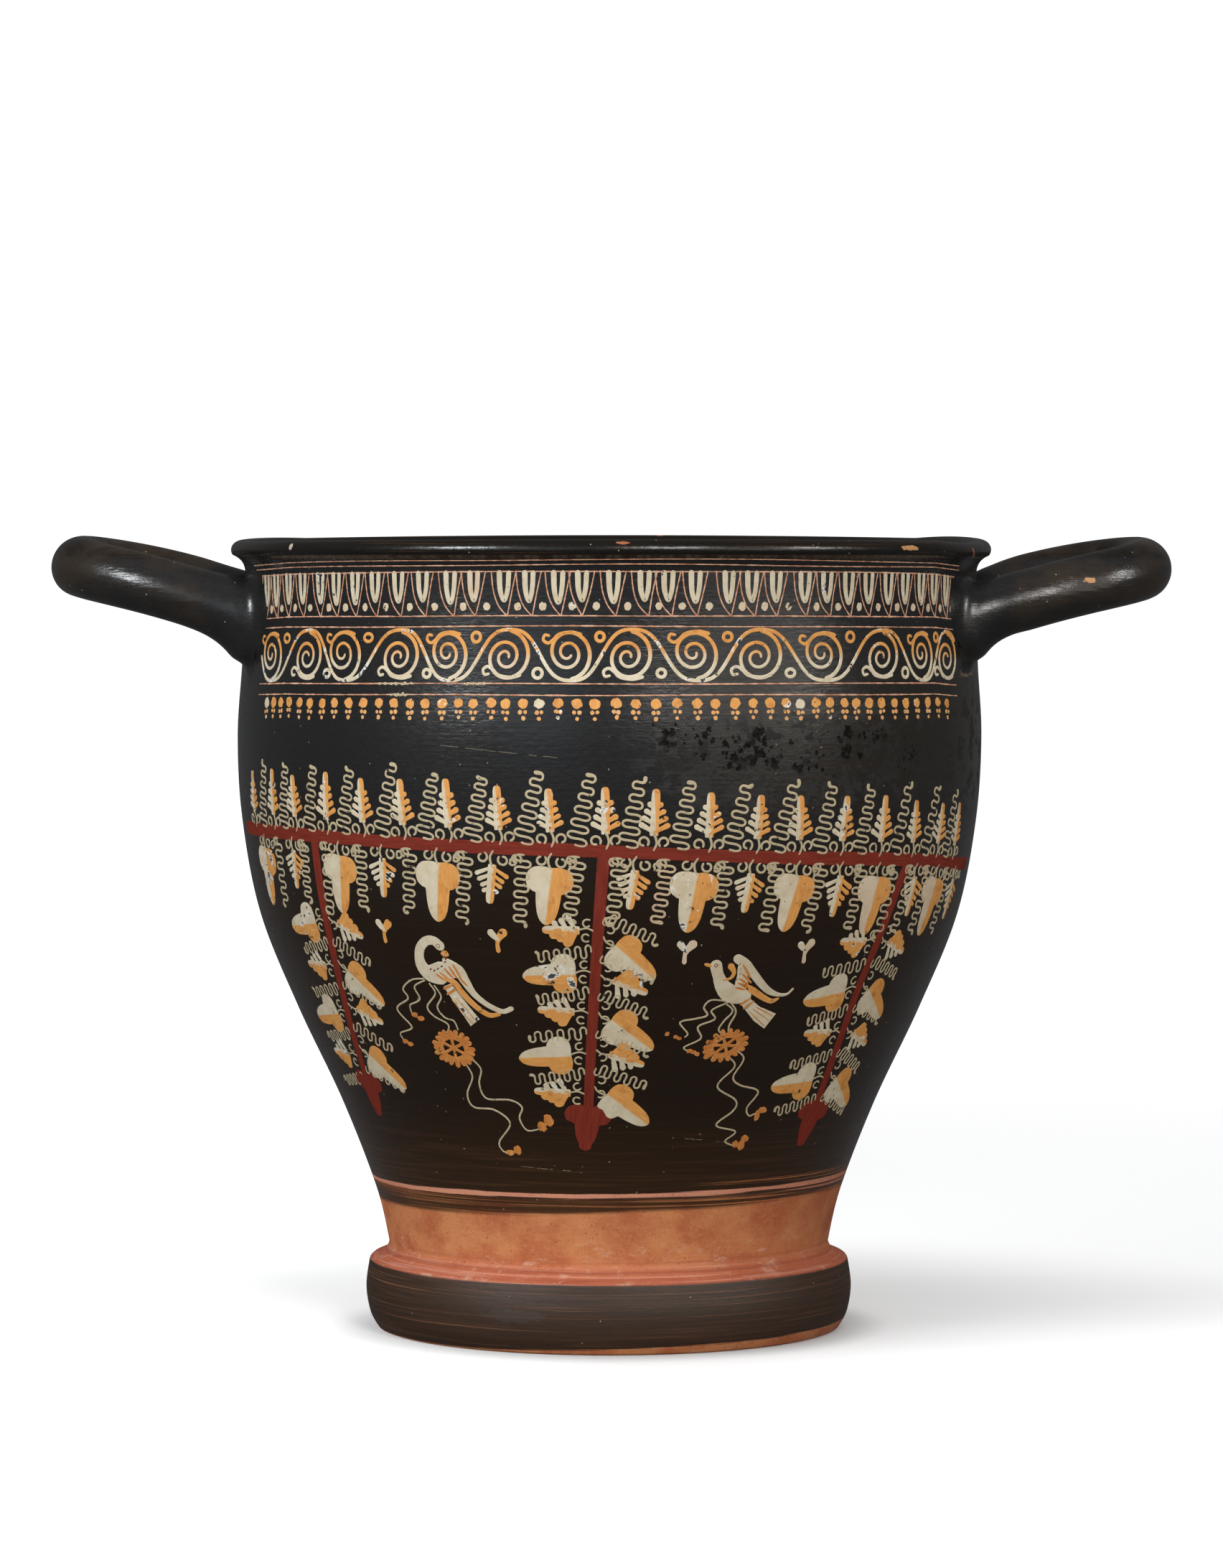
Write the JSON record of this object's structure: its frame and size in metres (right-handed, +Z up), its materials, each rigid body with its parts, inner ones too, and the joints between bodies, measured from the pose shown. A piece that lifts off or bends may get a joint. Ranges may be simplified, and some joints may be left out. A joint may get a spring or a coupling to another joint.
{
  "type": "skyphos",
  "caption": "Deep black-glazed drinking cup with a ring foot, rising horseshoe handles and painted bands of tongues, spirals, dots, vine leaves and birds.",
  "frame": {"origin": "centre of the circle that the foot rests on", "axes": "+Z up along the cup's axis, +X through the right handle, main painted side facing -Y"},
  "size_m": [0.284, 0.193, 0.2001],
  "materials": {
    "black_gloss": "satin",
    "bare_clay": "matte",
    "white_slip": "matte",
    "red_slip": "matte"
  },
  "bodies": {
    "root": {"skyphos": "black_gloss"}
  },
  "joints": []
}
